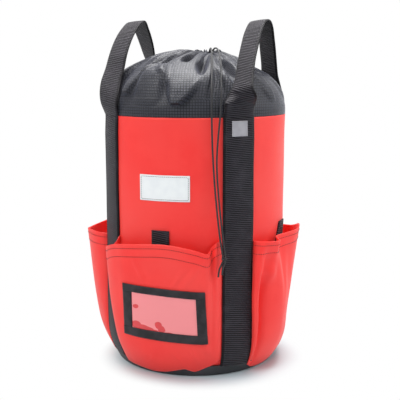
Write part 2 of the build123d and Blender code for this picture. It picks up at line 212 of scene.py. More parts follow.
def hung(radius, aside, z):
    """Place from a route's row."""
    out = math.sqrt(radius**2 - aside**2)
    a = math.radians(HANG_SIDE)
    return Vector((out * math.cos(a) - aside * math.sin(a), out * math.sin(a) + aside * math.cos(a), z)) * MM


def add_piece(name, data, body="bag"):
    """Object of one visible piece. Without a body, it is left unattached."""
    obj = new_object(name, data)
    if body:
        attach(obj, body)
    return obj


def tube(name, places, radius, material, order, rings, closed=False):
    """Round tube along a smooth line."""
    data = bpy.data.curves.new(name, "CURVE")
    data.dimensions = "3D"
    data.bevel_depth = radius
    data.bevel_resolution = rings
    data.use_fill_caps = not closed
    line = data.splines.new("NURBS")
    line.points.add(len(places) - 1)
    for point, place in zip(line.points, places):
        point.co = (*place, 1)
    line.order_u = order
    line.use_endpoint_u = not closed
    line.use_cyclic_u = closed
    data.materials.append(material)
    return add_piece(name, data)


def make_knot(material):
    """Overhand knot: a cord that goes once round itself, as a closed trefoil tube pulled tight."""
    wide, high, deep = 1.15 * MM, 1.35 * MM, 1.5 * MM
    count = 18
    a = math.radians(HANG_SIDE)
    out = Vector((math.cos(a), math.sin(a), 0))
    side = Vector((-math.sin(a), math.cos(a), 0))
    places = []
    for k in range(count):
        t = 2 * math.pi * k / count
        x = math.sin(t) + 1.5 * math.sin(2 * t)
        y = math.cos(t) - 1.5 * math.cos(2 * t)
        z = -math.sin(3 * t)
        places.append(hung(*KNOT) + side * x * wide + Vector((0, 0, 1)) * y * high + out * z * deep)
    knot = tube("drawcord_knot_turns", places, CORD_D * 0.52, material, 4, 3, closed=True)
    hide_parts("drawcord_knot")
    return knot


def make_cords(material):
    knot = make_knot(material)
    for name, route in ROUTES.items():
        curve = tube(name + "_line", [hung(*row) for row in route], CORD_D / 2, material, 3, 4)
        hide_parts(name)
    for name, length in CORD_LENGTHS.items():
        curve = bpy.data.objects[name + "_line"]


# ---- materials ----
class Shader:
    """Short ways to make the nodes of one material."""

    def __init__(self, name):
        self.mat = bpy.data.materials.new(name)
        self.mat.use_nodes = True
        self.nodes = self.mat.node_tree.nodes
        self.links = self.mat.node_tree.links
        self.base = self.nodes["Principled BSDF"]

    def feed(self, socket, value):
        """Sets a socket to a number or a colour, or links another node's output to it."""
        if isinstance(value, bpy.types.NodeSocket):
            self.links.new(value, socket)
        elif isinstance(value, tuple) and len(value) == 3 and socket.type == "RGBA":
            socket.default_value = (*value, 1)
        else:
            socket.default_value = value

    def maths(self, kind, a, b=0, c=0):
        node = new_node(self.nodes, "Math", kind)
        for socket, value in zip(node.inputs, (a, b, c)):
            self.feed(socket, value)
        return node.outputs[0]

    def times(self, a, b):
        return self.maths("MULTIPLY", a, b)

    def noise(self, scale, detail=3, rough=0.55, stretch=None):
        """Uneven patches of about 1 / scale metres."""
        node = new_node(self.nodes, "TexNoise", Scale=scale, Detail=detail, Roughness=rough)
        source = self.place()
        if stretch:
            squeeze = new_node(self.nodes, "VectorMath", "MULTIPLY")
            squeeze.inputs[1].default_value = stretch
            self.links.new(source, squeeze.inputs[0])
            source = squeeze.outputs[0]
        self.links.new(source, node.inputs["Vector"])
        return node.outputs["Fac"]

    def place(self):
        """Position on the object, in metres."""
        return self.nodes.new("ShaderNodeTexCoord").outputs["Object"]

    def cloth(self):
        """(across, along): the cloth's own lengths at this point, in metres, from its UV map."""
        split = self.nodes.new("ShaderNodeSeparateXYZ")
        self.links.new(self.nodes.new("ShaderNodeTexCoord").outputs["UV"], split.inputs[0])
        return split.outputs[0], split.outputs[1]

    def wave(self, length, pitch):
        """0 to 1 and back once each pitch along a length."""
        angle = self.times(length, 2 * math.pi / pitch)
        return self.maths("MULTIPLY_ADD", self.maths("SINE", angle), 0.5, 0.5)

    def ramp(self, value, low, high, to_low=0, to_high=1):
        """Smooth step from to_low at low to to_high at high."""
        node = new_node(self.nodes, "MapRange", From_Min=low, From_Max=high, To_Min=to_low, To_Max=to_high)
        node.interpolation_type = "SMOOTHSTEP"
        self.feed(node.inputs["Value"], value)
        return node.outputs["Result"]

    def mix(self, share, a, b):
        """Colour a where share is 0, and b where it is 1."""
        node = self.nodes.new("ShaderNodeMix")
        node.data_type = "RGBA"
        self.feed(node.inputs["Factor"], share)
        self.feed(node.inputs[6], a)
        self.feed(node.inputs[7], b)
        return node.outputs[2]

    def bump(self, height, distance, strength=1, onto=None):
        node = new_node(self.nodes, "Bump", Distance=distance, Strength=strength)
        self.feed(node.inputs["Height"], height)
        if onto:
            self.links.new(onto, node.inputs["Normal"])
        return node.outputs["Normal"]

    def finish(self, **inputs):
        """Sets the shader's own sockets and gives the material."""
        for key, value in inputs.items():
            self.feed(self.base.inputs[key.replace("_", " ")], value)
        return self.mat


def red_cloth():
    """Coated pack cloth: plain weave under a matt coating, a little uneven in tone."""
    s = Shader("red_cloth")
    across, along = s.cloth()
    weave = s.times(s.wave(across, 0.9 * MM), s.wave(along, 0.9 * MM))
    mottle = s.noise(38, 4)
    broad = s.noise(9, 2)
    tone = s.mix(s.ramp(mottle, 0.35, 0.7), (0.95, 0.022, 0.017), (0.98, 0.034, 0.026))
    tone = s.mix(s.ramp(broad, 0.4, 0.7), tone, (0.96, 0.042, 0.033))
    fine = s.bump(weave, 0.00012, 0.35)
    normal = s.bump(mottle, 0.0009, 0.3, fine)
    return s.finish(Base_Color=tone, Roughness=s.ramp(mottle, 0.2, 0.8, 0.5, 0.62), Normal=normal,
                    Specular_IOR_Level=0.5, Sheen_Weight=0.14, Sheen_Roughness=0.5,
                    Sheen_Tint=(1, 0.82, 0.76))


def webbing():
    """Ribbed black webbing: raised picks across the width, with a flat selvage along each edge, coloured with
    a painted highlight on the picks and painted shade in the grooves.
    """
    s = Shader("black_webbing")
    # dark is the painted shade of the grooves; light is the painted highlight of the picks and also the
    # colour of worn patches.
    dark, light = (0.002, 0.0015, 0.0022), (0.064, 0.057, 0.07)
    across, along = s.cloth()
    slant = s.maths("MULTIPLY_ADD", across, 0.13, along)
    ribs = s.wave(slant, 2.8 * MM)
    warp = s.wave(across, 1.5 * MM)
    edge = s.ramp(s.maths("ABSOLUTE", across), 0.4 * WEB_W, 0.46 * WEB_W)
    body = s.times(s.maths("MULTIPLY_ADD", warp, 0.35, 0.65), ribs)
    height = s.times(body, s.maths("SUBTRACT", 1, s.times(edge, 0.7)))
    fuzz = s.noise(900, 2)
    worn = s.noise(60, 3)
    # Painted highlight and shade: the colour follows the rib height, lighter on the raised picks and darker
    # in the grooves and on the flat selvage.
    tone = s.mix(height, dark, light)
    tone = s.mix(s.ramp(worn, 0.45, 0.75, 0, 0.35), tone, light)
    fine = s.bump(fuzz, 0.0002, 0.3)
    normal = s.bump(height, 0.0011, 0.9, fine)
    return s.finish(Base_Color=tone, Roughness=0.5, Normal=normal, Specular_IOR_Level=0.12,
                    Sheen_Weight=0.08, Sheen_Roughness=0.35)


def ripstop():
    """Ripstop nylon: smooth fine cloth with thicker threads in a square grid, satin finish."""
    s = Shader("ripstop_cloth")
    across, along = s.cloth()
    pitch = 3.7 * MM
    lines = s.maths("MAXIMUM", *(s.ramp(s.wave(length, pitch), 0.72, 0.93) for length in (across, along)))
    fine = s.times(s.wave(across, 0.62 * MM), s.wave(along, 0.62 * MM))
    crush = s.noise(55, 4, 0.6)
    broad = s.noise(16, 2)
    # Painted shade: the grid threads are coloured darker, standing in for the shade along their ridges, on
    # top of the bump that raises them.
    tone = s.mix(lines, (0.042, 0.043, 0.056), (0.005, 0.005, 0.008))
    tone = s.mix(s.ramp(broad, 0.4, 0.7, 0, 0.4), tone, (0.019, 0.019, 0.026))
    weave = s.bump(fine, 0.00015, 0.3)
    grid = s.bump(lines, 0.0006, 0.8, weave)
    normal = s.bump(crush, 0.003, 0.35, grid)
    return s.finish(Base_Color=tone, Roughness=s.ramp(crush, 0.2, 0.8, 0.32, 0.42), Normal=normal,
                    Specular_IOR_Level=0.28, Sheen_Weight=0.16, Sheen_Roughness=0.3,
                    Sheen_Tint=(0.75, 0.78, 1))


def base_cloth():
    """Heavy coated base fabric with a leathery grain, uneven in tone and gloss."""
    s = Shader("base_cloth")
    grain = s.noise(420, 3)
    broad = s.noise(24, 3)
    tone = s.mix(s.ramp(broad, 0.4, 0.75), (0.022, 0.022, 0.025), (0.045, 0.045, 0.05))
    normal = s.bump(broad, 0.003, 0.3, s.bump(grain, 0.0004, 0.4))
    return s.finish(Base_Color=tone, Roughness=s.ramp(broad, 0.2, 0.8, 0.45, 0.6), Normal=normal,
                    Specular_IOR_Level=0.4)


def cord_cloth():
    """Braided cord: two sets of strands that cross, with a soft sheen."""
    s = Shader("cord_braid")
    along, around = s.cloth()
    strands = [s.maths("SINE", s.maths("MULTIPLY_ADD", along, 900, s.times(around, lean)))
               for lean in (25, -25)]
    braid = s.maths("MAXIMUM", *strands)
    tone = s.mix(s.ramp(braid, -0.2, 1), (0.006, 0.006, 0.007), (0.04, 0.038, 0.042))
    return s.finish(Base_Color=tone, Roughness=0.5, Normal=s.bump(braid, 0.0003, 0.5), Sheen_Weight=0.08,
                    Specular_IOR_Level=0.3)


def tape_cloth():
    """Narrow bound tape round the window, with a fine uneven grain."""
    s = Shader("window_tape_cloth")
    fine = s.noise(700, 2)
    broad = s.noise(70, 2)
    tone = s.mix(s.ramp(broad, 0.35, 0.7), (0.014, 0.012, 0.014), (0.03, 0.026, 0.03))
    return s.finish(Base_Color=tone, Roughness=0.55, Specular_IOR_Level=0.25, Sheen_Weight=0.06,
                    Normal=s.bump(broad, 0.001, 0.3, s.bump(fine, 0.0003, 0.4)))


# Places where the vinyl clings to the cloth under it: across, up and size, in millimetres.
CLINGS = [(-38, 6, 5, 3.2), (-38, -19, 8, 5), (-26, -23, 14, 5), (-13, -25, 8, 3),
          (-6, -15, 5, 5.2), (-2, -20, 5, 5), (8, -26, 9, 3.2)]


def clear_vinyl():
    """Clear vinyl over the red pocket: a milky pink sheen, darker where it touches the cloth."""
    s = Shader("clear_vinyl_pane")
    across, along = s.cloth()
    wander = s.maths("MULTIPLY_ADD", s.noise(75, 1), 5.0 * MM, -2.5 * MM)
    touch = 0.0
    for x, y, wide, high in CLINGS:
        dx = s.maths("DIVIDE", s.maths("ADD", s.maths("SUBTRACT", across, x * MM), wander), wide * MM)
        dy = s.maths("DIVIDE", s.maths("SUBTRACT", s.maths("SUBTRACT", along, y * MM), wander), high * MM)
        near = s.maths("ADD", s.times(dx, dx), s.times(dy, dy))
        touch = s.maths("MAXIMUM", s.ramp(near, 1.1, 0.8), touch)
    rim = s.times(s.ramp(touch, 0, 0.5), s.ramp(touch, 1, 0.5))
    tone = s.mix(touch, (0.95, 0.255, 0.265), (0.74, 0.03, 0.038))
    tone = s.mix(s.times(rim, 0.5), tone, (0.6, 0.02, 0.03))
    ripple = s.noise(30, 2)
    return s.finish(Base_Color=tone, Roughness=0.16, Normal=s.bump(ripple, 0.002, 0.25),
                    Specular_IOR_Level=0.5, Coat_Weight=0.5, Coat_Roughness=0.08)


def board_plastic():
    """Stiff black sheet plastic with a fine moulded grain, scratched a little by what is packed on it."""
    s = Shader("board_plastic")
    grain = s.noise(1300, 2)
    rubbed = s.noise(40, 3, stretch=(1, 6, 1))
    tone = s.mix(s.ramp(rubbed, 0.5, 0.75), (0.02, 0.02, 0.022), (0.04, 0.04, 0.043))
    return s.finish(Base_Color=tone, Roughness=s.ramp(rubbed, 0.3, 0.7, 0.38, 0.55),
                    Normal=s.bump(grain, 0.0002, 0.4), Specular_IOR_Level=0.45)


def thread(name, colour):
    """Twisted sewing thread."""
    s = Shader(name)
    twist = s.noise(2500, 1)
    tone = s.mix(twist, colour, tuple(min(1, c * 1.5 + 0.004) for c in colour))
    return s.finish(Base_Color=tone, Roughness=0.6, Specular_IOR_Level=0.2, Sheen_Weight=0.04)


def pale_cloth(name, light, shade):
    """Woven satin patch."""
    s = Shader(name)
    across, along = s.cloth()
    weave = s.times(s.wave(across, 0.5 * MM), s.wave(along, 0.8 * MM))
    broad = s.noise(90, 2)
    tone = s.mix(s.ramp(broad, 0.3, 0.7), shade, light)
    return s.finish(Base_Color=tone, Roughness=0.55, Normal=s.bump(weave, 0.0002, 0.5), Sheen_Weight=0.1)


# ---- mesh tools ----
def cloth_mesh(name, points, lengths, material, thick=0, body="bag", closed=False, offset=-1):
    """Smooth sheet through a grid of points, with the cloth's own lengths as its UV map.

    points is rows x columns x 3 and lengths rows x columns x 2. closed joins the last column to the
    first, which are the same line. thick is added by a Solidify modifier, inwards unless offset says."""
    rows, cols = points.shape[:2]
    used = cols - 1 if closed else cols
    verts = points[:, :used].reshape(-1, 3)
    i, j = np.meshgrid(np.arange(rows - 1), np.arange(cols - 1), indexing="ij")
    i, j = i.ravel(), j.ravel()
    corners = [(i, j), (i, j + 1), (i + 1, j + 1), (i + 1, j)]
    faces = np.stack([a * used + b % used for a, b in corners], axis=1)
    mesh = bpy.data.meshes.new(name)
    mesh.from_pydata(verts.tolist(), [], faces.tolist())
    uv = np.stack([lengths[a, b] for a, b in corners], axis=1)
    layer = mesh.uv_layers.new(name="lengths")
    layer.data.foreach_set("uv", uv.reshape(-1).astype(np.float32))
    mesh.shade_smooth()
    mesh.materials.append(material)
    obj = add_piece(name, mesh, body)
    if thick:
        solid = obj.modifiers.new("thickness", "SOLIDIFY")
        solid.thickness = thick
        solid.offset = offset
    return obj


def ease(x, low, high):
    """0 below low, 1 above high, smooth between."""
    s = np.clip((np.asarray(x, float) - low) / (high - low), 0, 1)
    return s * s * (3 - 2 * s)


def swell(a, b, seed, octaves=4):
    """Smooth uneven waves over two coordinates, about -1 to 1, always the same for one seed."""
    rng = np.random.default_rng(seed)
    total = np.zeros(np.broadcast(a, b).shape)
    for k in range(octaves):
        for _ in range(3):
            angle, phase = rng.uniform(0, 2 * math.pi, 2)
            rate = 2.0**k * rng.uniform(0.7, 1.4)
            total = total + np.sin(rate * (math.cos(angle) * a + math.sin(angle) * b) + phase) / 1.7**k
    return total / 4.0


def ring_swell(turn, b, seed, waves=6):
    """As swell, but the same at both ends of a full turn."""
    rng = np.random.default_rng(seed)
    total = np.zeros(np.broadcast(turn, b).shape)
    for k in range(1, waves + 1):
        p, q = rng.uniform(0, 2 * math.pi, 2)
        wave = np.sin(k * np.radians(turn) + p + rng.uniform(-2, 2) * b)
        total = total + wave * np.cos(b * k * 0.6 + q) / k**0.6
    return total / 2.5


def bump_at(x, middle, half):
    """Smooth hump: 1 at the middle, 0 beyond half on either side."""
    return ease(1 - np.abs((x - middle) / half), 0, 1)


def polar(radius, turn, z):
    """Points at distances from the bag's axis, turns and heights."""
    a = np.radians(turn)
    return np.stack(np.broadcast_arrays(radius * np.cos(a), radius * np.sin(a), z), axis=-1)


def read_at(x, xs, rows):
    """Each column of rows at x, straight between the rows, which stand at xs."""
    return np.array([np.interp(x, xs, column) for column in rows.T])


def unit(vectors):
    return vectors / np.linalg.norm(vectors, axis=-1, keepdims=True)


def run_along(points):
    """Distance along each line of points, from its first one."""
    steps = np.cumsum(np.linalg.norm(np.diff(points, axis=-2), axis=-1), axis=-1)
    return np.concatenate([0 * steps[..., :1], steps], axis=-1)


def stitches(name, points, normals, material, long=2.8 * MM, gap=0.8 * MM, radius=0.4 * MM):
    """Row of separate thread stitches along a line on a surface.

    rings holds each ring's share along a stitch, its lift and its width."""
    points, normals = np.asarray(points, float), np.asarray(normals, float)
    along = run_along(points)
    count = max(1, int(along[-1] // (long + gap)))
    starts = (np.arange(count) + 0.5) * along[-1] / count - long / 2

    first, last = (read_at(run, along, points).T for run in (starts, starts + long))
    up = unit(read_at(starts + long / 2, along, normals).T)
    side = unit(np.cross(last - first, up))
    rings = [(0, -0.5, 0.5), (0.2, 0.75, 1), (0.8, 0.75, 1), (1, -0.5, 0.5)]
    share, lift, wide = np.array(rings).T[..., None, None]
    sides = 6
    top = sides * (len(rings) - 1)
    turn = 2 * np.pi * np.arange(sides)[:, None] / sides
    around = np.cos(turn) * side[:, None, None] + 0.8 * np.sin(turn) * up[:, None, None]
    first, last, up = (each[:, None, None] for each in (first, last, up))
    verts = first * (1 - share) + last * share + radius * (up * lift + wide * around)
    verts = verts.reshape(-1, 3).tolist()
    walls = [(low + k, low + (k + 1) % sides) for low in range(0, top, sides) for k in range(sides)]
    one = [(a, b, b + sides, a + sides) for a, b in walls]
    one += [tuple(range(sides)), tuple(range(top + sides - 1, top - 1, -1))]
    faces = [tuple(base + k for k in face) for base in range(0, len(verts), top + sides) for face in one]
    mesh = bpy.data.meshes.new(name)
    mesh.from_pydata(verts, [], faces)
    mesh.shade_smooth()
    mesh.materials.append(material)
    add_piece(name, mesh)


# ---- wall, base and straps ----
def foot_radius(z):
    """Plain outside radius of the bag at height z, as in the CAD."""
    return BODY_R - CORNER_IN * np.clip(1 - np.asarray(z, float) / CORNER_H, 0, 1) ** CORNER_POWER


def wall(turn, z):
    """Outside radius of the red wall: the panels swell a little between the straps."""
    turn, z = np.broadcast_arrays(np.asarray(turn, float), np.asarray(z, float))
    free = ease(z, 0.02, 0.09) * (1 - ease(z, SEAM_Z - 0.03, SEAM_Z))
    panel = 0.7 * MM * np.cos(np.radians(4 * (turn - 45)))
    dents = 0.9 * MM * ring_swell(turn, z * 14, 5)
    beside_strap = (turn + 57.0 + 180) % 360 - 180
    pulled = 1.2 * MM * bump_at(beside_strap, 0, 5) * ease(z, 0.15, 0.3)
    return foot_radius(z) + free * (panel + dents - pulled) - 0.3 * MM


def make_wall(material):
    turn, z = np.meshgrid(np.linspace(90, 450, 481), np.linspace(RIM_Z, SEAM_Z, 120))
    points = polar(wall(turn, z), turn, z)
    lengths = np.stack([np.radians(turn) * BODY_R, z], axis=-1)
    obj = cloth_mesh("wall_cloth", points, lengths, material, CLOTH_T, closed=True)
    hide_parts("body_shell")


def make_base(material):
    """Round base with a turned-up rim, slightly uneven round its edge."""
    shares = np.concatenate([np.linspace(0.02, 0.93, 12), np.linspace(0.95, 1, 4)])
    rim_z = np.linspace(BASE_T, RIM_Z + 0.4 * MM, 15)[1:]
    line_r = np.concatenate([shares * foot_radius(0), foot_radius(rim_z)])
    line_z = np.concatenate([np.full(len(shares), BASE_T), rim_z])
    turn, row = np.meshgrid(np.linspace(90, 450, 361), np.arange(len(line_r)))
    radius, height = line_r[row], line_z[row]
    pinch = 0.6 * MM * ring_swell(turn, height * 60, 8) * ease(height, 0.002, 0.01)
    points = polar(radius + pinch, turn, height)
    lengths = np.stack([np.radians(turn) * 0.11, radius + height], axis=-1)
    obj = cloth_mesh("base_cloth", points, lengths, material, BASE_T, closed=True, offset=1)
    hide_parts("base_panel")


def make_straps(material, seam_thread):
    """Four straps sewn down the wall, each with a row of stitching near either edge."""
    for name, turn in STRAPS.items():
        across, z = np.meshgrid(np.linspace(-WEB_W / 2, WEB_W / 2, 13), np.linspace(STRAP_FOOT, SEAM_Z, 130))
        at = turn + np.degrees(across / BODY_R)
        crown = 0.25 * MM * (1 - (2 * across / WEB_W) ** 2)
        points = polar(wall(at, z) + WEB_T + 0.2 * MM + crown, at, z)
        lengths = np.stack([across, z], axis=-1)
        obj = cloth_mesh("webbing_" + name, points, lengths, material, 2.0 * MM)
        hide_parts("strap_" + name)
        normals = polar(np.ones(len(points)), turn, np.zeros(len(points)))
        for side, column in (("a", 1), ("b", -2)):
            stitches(f"strap_seam_{name}_{side}", points[:, column], normals, seam_thread)


# ---- bellows pockets ----
SIDE = 45.0 - math.degrees(WEB_W / BODY_R) / 2 - 0.4     # turn of a pocket's side seam from its middle
FOOT_STAND = 1.9                                         # mm that its foot stands off the wall
# Each pocket from one side seam to the other. A row gives one point of the open edge, as its turn from
# the panel's middle and stand-off from the wall (mm), then the turn of the same cloth at the foot, and
# where the cloth doesn't fill out evenly between, its turn and stand-off a little over half way up.
POCKET_EDGES = {
    "front": [
        (-SIDE, 0, -SIDE), (-34.3, 6, -33.5), (-39.5, 11, -32), (-38, 17, -29.5), (-30, 20, -23),
        (-17, 19, -14), (-4, 15, -4), (8, 15, 8), (18, 17, 18), (25, 15.5, 23, 24.5, 13),
        (26.8, 9, 25.5, 26.8, 11), (28, 5.5, 28, 28.6, 8.5), (30, 11, 30, 30.6, 8.5),
        (32.5, 7.5, 32, 32.7, 5.5), (SIDE, 0, SIDE),
    ],
    "right": [
        (-SIDE, 0, -SIDE), (-34.3, 5.5, -34.9, -36.6, 5.5), (-33, 10, -34.7, -36.4, 11),
        (-30.5, 14, -34, -34, 12.5), (-27.5, 17.5, -33, -31.4, -0.5), (-24, 20.5, -31.4, -29.4, -0.8),
        (-20.5, 20.5, -28, -25.2, 9.5), (-17.5, 12, -16, -16.5, 17.5), (-14.5, 6, -8.5, -10.5, 15.5),
        (-8, 12.5, -1.5, -4.5, 14.2), (0, 20, 3.5, 1.5, 14.6), (8, 22.6, 9.5, 8.5, 13.6),
        (16, 22.6, 16.5, 16, 12.2), (25, 20.5, 24, 24, 10.5), (31, 15.5, 30, 30, 8),
        (33.5, 8.5, 33.5, 33.2, 4.5), (SIDE, 0, SIDE),
    ],
    "left": [
        (-SIDE, 0, -SIDE), (-34, 9, -33), (-31, 20, -29), (-22, 28, -21), (-10, 31, -10), (3, 33, 3),
        (15, 30, 14), (24, 23, 23), (30, 15, 29), (33.5, 7, 33), (SIDE, 0, SIDE),
    ],
    "back": [
        (-SIDE, 0, -SIDE), (-34, 6, -33.5), (-30, 13, -29), (-20, 17, -20), (-7, 15, -7), (-1, 12.5, -1),
        (7, 17, 7), (20, 18, 19), (30, 13, 29), (34, 6, 33.5), (SIDE, 0, SIDE),
    ],
}
MID_WAY = 0.6
# Share of that stand-off half way below it, on the side towards the front of the bag and on the other.
LOW_SHARE = {"front": (0.66, 0.66), "right": (0.85, 0.34), "left": (0.66, 0.66), "back": (0.6, 0.6)}
# Height (mm) of each pocket's open edge and of its foot, by turn from the panel's middle.
POCKET_TOPS = {
    "front": [(-36, 172), (-33, 176), (-27, 180), (-19, 182.5), (-4, 185.5), (5, 185.5), (13.5, 182.5),
              (20, 179), (24, 175.5), (26.5, 176), (28.5, 184), (30.5, 188.5), (36, 190)],
    "right": [(-36, 185), (-29, 184), (-20, 183), (-16, 185), (-8, 187.5), (3, 188.5), (12, 190), (18, 189.5),
              (25, 184.5), (31, 181), (36, 182)],
    "left": [(-36, 186), (-25, 184), (-10, 180), (3, 177.5), (12, 179), (20, 182.5), (30, 182), (36, 181)],
    "back": [(-36, 186), (-20, 184), (0, 181), (12, 184), (36, 186)],
}
POCKET_FEET = {
    "front": [(-36, 8.8), (-29, 6.3), (-19, 4.6), (-11, 3), (-1, 4.9), (7, 9.5), (12, 12), (15, 10),
              (19, 8.2), (25, 14), (30, 19), (34, 26)],
    "right": [(-38, 12), (-34, 9), (-31, 5), (-25, 2.6), (-14, 2.4), (-3, 4), (8, 9), (20, 8), (36, 12)],
    "left": [(-36, 12), (-20, 7), (-5, 10), (10, 12), (22, 8), (36, 10)],
    "back": [(-36, 12), (-22, 7), (-8, 9), (4, 13), (18, 7), (36, 12)],
}
LIPS = {"front": 12.0}               # mm by which the edge rises where its first side is sewn on
HEM_ROWS = (5.8 * MM, 17.0 * MM)     # the two rows of stitching below a pocket's open edge


def smooth(points, per_step):
    """Points of a smooth curve through the given rows of numbers."""
    p = np.asarray(points, float)
    p = np.concatenate([p[:1], p, p[-1:]])
    t = np.arange(per_step)[:, None] / per_step
    pieces = []
    for a, b, c, d in zip(p, p[1:], p[2:], p[3:]):
        pieces.append(b * (2 * t**3 - 3 * t**2 + 1) + (c - a) / 2 * (t**3 - 2 * t**2 + t)
                      + c * (3 * t**2 - 2 * t**3) + (d - b) / 2 * (t**3 - t**2))
    return np.concatenate([*pieces, p[-1:]])


def curve_at(table, x):
    """Smooth reading of a short table of (x, value) pairs."""
    fine = smooth(table, 8)
    return np.interp(x, fine[:, 0], fine[:, 1])


def pocket_levels(name):
    """Turn and stand-off of every edge point at the foot, a third up, at MID_WAY and at the open edge."""
    levels = []
    last = len(POCKET_EDGES[name]) - 1
    for k, (turn, stand, turn_foot, *own_mid) in enumerate(POCKET_EDGES[name]):
        foot = FOOT_STAND if 0 < k < last else 0.0
        even_mid = (turn_foot + 0.83 * (turn - turn_foot), foot + 0.77 * (stand - foot))
        turn_mid, stand_mid = own_mid or even_mid
        low = foot + np.interp(turn_mid, (-9, 6), LOW_SHARE[name]) * (stand_mid - foot)
        turn_low = turn_foot + 0.55 * (turn_mid - turn_foot)
        levels.append([(turn_foot, foot), (turn_low, low), (turn_mid, stand_mid), (turn, stand)])
    return np.array(levels)


def pocket_place(name, t, s):
    """Turn, radius and height on a pocket's outside at share t along its edge and s up from its foot."""
    fine = smooth(pocket_levels(name).reshape(-1, 8), 10).reshape(-1, 4, 2)
    index = t[0] * (len(fine) - 1)
    at = np.array([read_at(index, np.arange(len(fine)), fine[:, k]) for k in range(4)])
    rise = smooth([(0,), (0.3,), (MID_WAY,), (1,)], 24)[:, 0]
    sheet = smooth(at.reshape(4, -1), 24).reshape(-1, 2, t.shape[1])
    turn, stand = (read_at(s[:, 0], rise, sheet[:, i]).T for i in (0, 1))
    top = curve_at(POCKET_TOPS[name], turn) + LIPS.get(name, 0) * (1 - ease(index, 0, 17))[None]
    z = curve_at(POCKET_FEET[name], turn) * (1 - s) + top * s
    return turn, stand, z * MM


# Soft slanting creases of the front pocket: turn, slant (degrees a height), middle and reach up the
# pocket as shares of its height, and how proud they stand, in millimetres.
CREASES = [
    (17, 40, 0.8, 0.18, 1.2), (9, 46, 0.74, 0.16, 0.9), (-12, -34, 0.8, 0.16, 0.8),
    (20, -30, 0.12, 0.14, 1.6), (9, -36, 0.09, 0.1, 1.2), (26, -24, 0.16, 0.16, 1.4),
    (-8, 40, 0.13, 0.12, 1), (24, 6, 0.45, 0.3, 0.8),
]


def pocket_folds(name, turn, z, s):
    """Creases of the full cloth, outwards, in millimetres."""
    free = ease(s, 0, 0.25) * ease(SIDE - np.abs(turn), 0.3, 5)
    waves = 0.8 * swell(turn / 16, z * 22, len(name) + 3)
    if name == "front":
        pinch = 1.1 * bump_at(turn, -22, 6) * ease(s, 0.3, 0.9)
        for at, slope, middle, long, high in CREASES:
            pinch = pinch + high * bump_at(turn, at + slope * (s - middle), 2.6) * bump_at(s, middle, long)
        return free * (0.8 * waves + pinch)
    if name == "right":
        ridge = 1.6 * bump_at(turn + 13.5 - 6.0 * s, 0, 4) * bump_at(s, 0.62, 0.3)
        overhang = 6.0 * bump_at(turn, -26.5, 7) * bump_at(s, 0.76, 0.11)
        return free * (0.8 * waves + ridge + overhang)
    return free * waves * 1.5


def pocket_points(name, cols, rows):
    """Grid of points on a pocket's outside, with its hem a little proud."""
    t, s = np.meshgrid(np.linspace(0, 1, cols), np.linspace(0, 1, rows))
    turn, stand, z = pocket_place(name, t, s)
    out = stand + pocket_folds(name, turn, z, s)
    hem = 0.35 * ease(curve_at(POCKET_TOPS[name], turn) * MM - z, HEM_ROWS[1], HEM_ROWS[1] - 1.2 * MM)
    radius = wall(turn + PANELS[name], z) + (0.9 + out + hem) * MM
    return polar(radius, turn + PANELS[name], z)


def make_pocket(name, material, dark_thread):
    """One pocket and its two rows of hem stitching. Gives its outside points and their normals."""
    points = pocket_points(name, 281, 111)
    across = run_along(points)
    half = across.shape[1] // 2
    lengths = np.stack([across - across[:, half:half + 1], points[..., 2]], axis=-1)
    obj = cloth_mesh("pocket_cloth_" + name, points, lengths, material, CLOTH_T)
    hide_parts("pocket_" + name)
    down = np.linalg.norm(points[-1:] - points, axis=2)
    normals = unit(np.cross(np.gradient(points, axis=1), np.gradient(points, axis=0)))
    cols = np.arange(3, points.shape[1] - 3)
    for k, below in enumerate(HEM_ROWS):
        row = np.argmin(np.abs(down - below), axis=0)
        line = np.array([read_at(below, down[::-1, c], points[::-1, c]) for c in cols])
        face = normals[row[cols], cols]
        stitches(f"pocket_hem_{name}_{k + 1}", line + 0.1 * MM * face, face, dark_thread,
                 long=2.3 * MM, gap=0.9 * MM, radius=0.3 * MM)
    return points, normals


# ---- loop handles ----
# Middle line of each loop's webbing, from the front strap to the back one, in millimetres: height
# above the seam, X, Y, and the way its width points.
LOOPS = {
    "left": [
        (0, -90.6, -90.6, -45), (15, -90.6, -94.8, -38), (30, -92, -90, -31.5), (45, -94.3, -79.1, -30),
        (62, -93.5, -68, -32), (80, -93, -58, -34), (96, -93, -45, -35), (110, -92, -31.5, -36),
        (120, -90.5, -19, -37), (126.5, -89.5, -8, -38), (128.5, -89, 1, -39), (126.5, -89.5, 10, -40),
        (120, -90.5, 19.5, -41), (110, -91, 31, -42), (96, -92, 45, -44), (80, -93, 58, -49),
        (62, -95, 74, -60), (45, -98.2, 91.2, -75), (30, -98, 98, -92), (15, -96, 97.5, -112),
        (0, -90.6, 90.6, -135),
    ],
    "right": [
        (0, 90.6, -90.6, 45), (11, 91.6, -93, 51), (18.5, 93.6, -97.2, 46), (27.5, 97.6, -102.6, -19),
        (38, 97.6, -101.6, -38), (51, 96.4, -89.4, -45), (72, 93.7, -70.5, -46), (90, 92.8, -54, -45.5),
        (105, 92.3, -39.5, -45.5), (116, 92.3, -26, -46), (124, 92.5, -12, -47), (126.5, 93.5, 2, -48),
        (124, 94.5, 14, -49), (116, 94.8, 24, -49.5), (105, 94, 33, -49), (90, 93, 44, -48),
        (72, 92, 56, -48), (54, 90.8, 67.5, -46.5), (42, 91.5, 76.5, -45.5), (30, 92.6, 84.6, -45),
        (15, 93.2, 90.8, -45), (0, 90.6, 90.6, -45),
    ],
}


